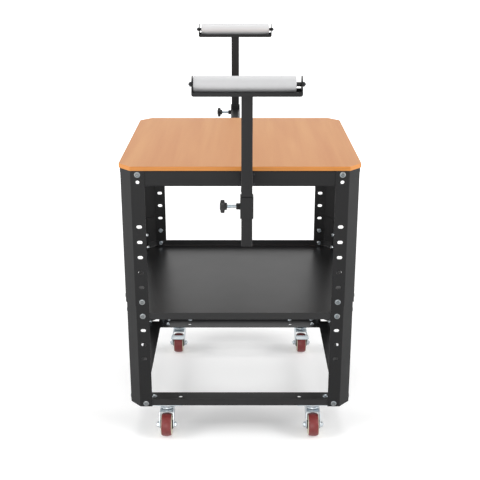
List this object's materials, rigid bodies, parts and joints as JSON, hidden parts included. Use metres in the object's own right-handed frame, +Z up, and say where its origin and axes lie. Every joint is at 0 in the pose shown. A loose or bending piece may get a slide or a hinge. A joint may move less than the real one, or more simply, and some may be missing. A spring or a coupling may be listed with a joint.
{
  "type": "rolling tool stand",
  "caption": "Rolling bench-tool stand: bolted angle legs, wooden top, tray shelf, braked swivel casters and sliding, height-adjustable roller supports.",
  "frame": {"origin": "on the floor, under the centre of the stand", "axes": "+Z up; X runs left to right across the stand; Y runs front to back, along the two roller arms, with the front at -Y"},
  "size_m": [0.616, 1.043, 1.0458],
  "materials": {
    "wood_top": "satin",
    "black_steel": "satin",
    "black_plastic": "satin",
    "zinc": "satin",
    "roller_metal": "satin",
    "red_tread": "satin"
  },
  "bodies": {
    "stand": {"tabletop": "wood_top", "front_left_leg_upper": "black_steel", "front_left_leg_lower": "black_steel", "front_right_leg_upper": "black_steel", "front_right_leg_lower": "black_steel", "back_left_leg_upper": "black_steel", "back_left_leg_lower": "black_steel", "back_right_leg_upper": "black_steel", "back_right_leg_lower": "black_steel", "front_top_rail": "black_steel", "back_top_rail": "black_steel", "left_top_rail": "black_steel", "right_top_rail": "black_steel", "tray_shelf": "black_steel", "front_base_rail": "black_steel", "back_base_rail": "black_steel", "left_base_rail": "black_steel", "right_base_rail": "black_steel", "front_arm_guide": "black_steel", "back_arm_guide": "black_steel", "front_left_caster_plate": "zinc", "front_right_caster_plate": "zinc", "back_left_caster_plate": "zinc", "back_right_caster_plate": "zinc"},
    "front_arm": {"front_arm": "black_steel", "front_arm_plug": "black_plastic"},
    "back_arm": {"back_arm": "black_steel", "back_arm_plug": "black_plastic"},
    "front_arm_knob": {"front_arm_knob": "black_plastic"},
    "back_arm_knob": {"back_arm_knob": "black_plastic"},
    "front_post_knob": {"front_post_knob": "black_plastic"},
    "back_post_knob": {"back_post_knob": "black_plastic"},
    "front_post": {"front_post": "black_steel", "front_post_plug": "black_plastic", "front_bracket": "black_steel", "front_roller_axle": "black_steel", "front_left_roller_spacer": "black_plastic", "front_right_roller_spacer": "black_plastic"},
    "back_post": {"back_post": "black_steel", "back_post_plug": "black_plastic", "back_bracket": "black_steel", "back_roller_axle": "black_steel", "back_left_roller_spacer": "black_plastic", "back_right_roller_spacer": "black_plastic"},
    "front_roller": {"front_roller": "roller_metal"},
    "back_roller": {"back_roller": "roller_metal"},
    "front_left_caster": {"front_left_caster_fork": "zinc", "front_left_caster_axle": "zinc"},
    "front_right_caster": {"front_right_caster_fork": "zinc", "front_right_caster_axle": "zinc"},
    "back_left_caster": {"back_left_caster_fork": "zinc", "back_left_caster_axle": "zinc"},
    "back_right_caster": {"back_right_caster_fork": "zinc", "back_right_caster_axle": "zinc"},
    "front_left_wheel": {"front_left_caster_wheel": "red_tread"},
    "front_right_wheel": {"front_right_caster_wheel": "red_tread"},
    "back_left_wheel": {"back_left_caster_wheel": "red_tread"},
    "back_right_wheel": {"back_right_caster_wheel": "red_tread"},
    "back_left_pedal": {"back_left_caster_brake_pedal": "zinc"},
    "back_right_pedal": {"back_right_caster_brake_pedal": "zinc"}
  },
  "joints": [
    {"name": "front_arm_slide", "type": "slide", "parent": "stand", "child": "front_arm", "axis": [0, -1, 0], "range_m": [-0.2, 0.2]},
    {"name": "back_arm_slide", "type": "slide", "parent": "stand", "child": "back_arm", "axis": [0, 1, 0], "range_m": [-0.2, 0.2]},
    {"name": "front_arm_knob_turn", "type": "hinge", "parent": "stand", "child": "front_arm_knob", "pos_m": [0.0155, -0.241, 0.725], "axis": [0, 0, -1], "range_deg": [0, 360]},
    {"name": "back_arm_knob_turn", "type": "hinge", "parent": "stand", "child": "back_arm_knob", "pos_m": [-0.0155, 0.241, 0.725], "axis": [0, 0, -1], "range_deg": [0, 360]},
    {"name": "front_post_slide", "type": "slide", "parent": "front_arm", "child": "front_post", "axis": [0, 0, 1], "range_m": [-0.22, 0.06]},
    {"name": "back_post_slide", "type": "slide", "parent": "back_arm", "child": "back_post", "axis": [0, 0, 1], "range_m": [-0.22, 0.06]},
    {"name": "front_post_knob_turn", "type": "hinge", "parent": "front_arm", "child": "front_post_knob", "pos_m": [-0.0085, -0.4955, 0.749], "axis": [-1, 0, 0], "range_deg": [0, 360]},
    {"name": "back_post_knob_turn", "type": "hinge", "parent": "back_arm", "child": "back_post_knob", "pos_m": [-0.0395, 0.4955, 0.749], "axis": [-1, 0, 0], "range_deg": [0, 360]},
    {"name": "front_roller_spin", "type": "hinge", "parent": "front_post", "child": "front_roller", "pos_m": [0.0155, -0.4955, 1.0268], "axis": [1, 0, 0], "continuous": true},
    {"name": "back_roller_spin", "type": "hinge", "parent": "back_post", "child": "back_roller", "pos_m": [-0.0155, 0.4955, 1.0268], "axis": [1, 0, 0], "continuous": true},
    {"name": "front_left_swivel", "type": "hinge", "parent": "stand", "child": "front_left_caster", "pos_m": [-0.203, -0.238, 0], "axis": [0, 0, 1], "continuous": true},
    {"name": "front_right_swivel", "type": "hinge", "parent": "stand", "child": "front_right_caster", "pos_m": [0.203, -0.238, 0], "axis": [0, 0, 1], "continuous": true},
    {"name": "back_left_swivel", "type": "hinge", "parent": "stand", "child": "back_left_caster", "pos_m": [-0.203, 0.238, 0], "axis": [0, 0, 1], "continuous": true},
    {"name": "back_right_swivel", "type": "hinge", "parent": "stand", "child": "back_right_caster", "pos_m": [0.203, 0.238, 0], "axis": [0, 0, 1], "continuous": true},
    {"name": "front_left_wheel_spin", "type": "hinge", "parent": "front_left_caster", "child": "front_left_wheel", "pos_m": [-0.203, -0.268, 0.0317], "axis": [1, 0, 0], "continuous": true},
    {"name": "front_right_wheel_spin", "type": "hinge", "parent": "front_right_caster", "child": "front_right_wheel", "pos_m": [0.203, -0.268, 0.0317], "axis": [1, 0, 0], "continuous": true},
    {"name": "back_left_wheel_spin", "type": "hinge", "parent": "back_left_caster", "child": "back_left_wheel", "pos_m": [-0.203, 0.208, 0.0317], "axis": [1, 0, 0], "continuous": true},
    {"name": "back_right_wheel_spin", "type": "hinge", "parent": "back_right_caster", "child": "back_right_wheel", "pos_m": [0.203, 0.208, 0.0317], "axis": [1, 0, 0], "continuous": true},
    {"name": "back_left_brake", "type": "hinge", "parent": "back_left_caster", "child": "back_left_pedal", "pos_m": [-0.203, 0.182, 0.0647], "axis": [1, 0, 0], "range_deg": [0, 12]},
    {"name": "back_right_brake", "type": "hinge", "parent": "back_right_caster", "child": "back_right_pedal", "pos_m": [0.203, 0.182, 0.0647], "axis": [1, 0, 0], "range_deg": [0, 12]}
  ]
}
